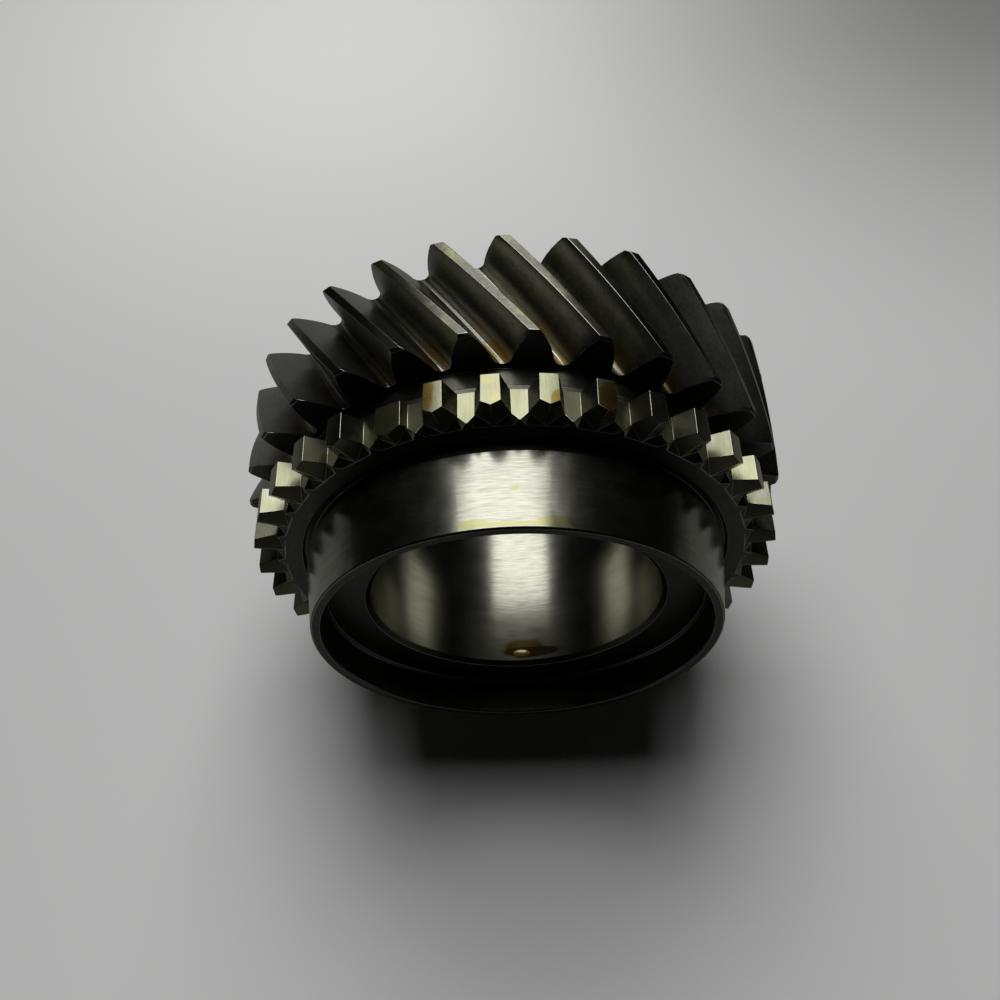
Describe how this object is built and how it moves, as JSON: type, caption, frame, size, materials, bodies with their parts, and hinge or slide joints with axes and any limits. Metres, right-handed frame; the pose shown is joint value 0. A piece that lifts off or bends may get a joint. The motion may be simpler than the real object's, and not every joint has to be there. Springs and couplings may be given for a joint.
{
  "type": "helical transmission gear",
  "caption": "Helical speed gear in one piece with a ring of pointed clutch teeth and a friction cone for a synchroniser ring, with a plain running bore.",
  "frame": {"origin": "where the gear axis meets the back face that the gear rests on", "axes": "+Z along the gear axis toward the friction cone; +X is any direction square to the axis"},
  "size_m": [0.0832, 0.0832, 0.0407],
  "materials": {
    "speed_gear": "case-hardened dark steel, ground on the cone, bore and tooth flanks, with a thin film of oil"
  },
  "bodies": {
    "root": {"speed_gear": "speed_gear"}
  },
  "joints": []
}
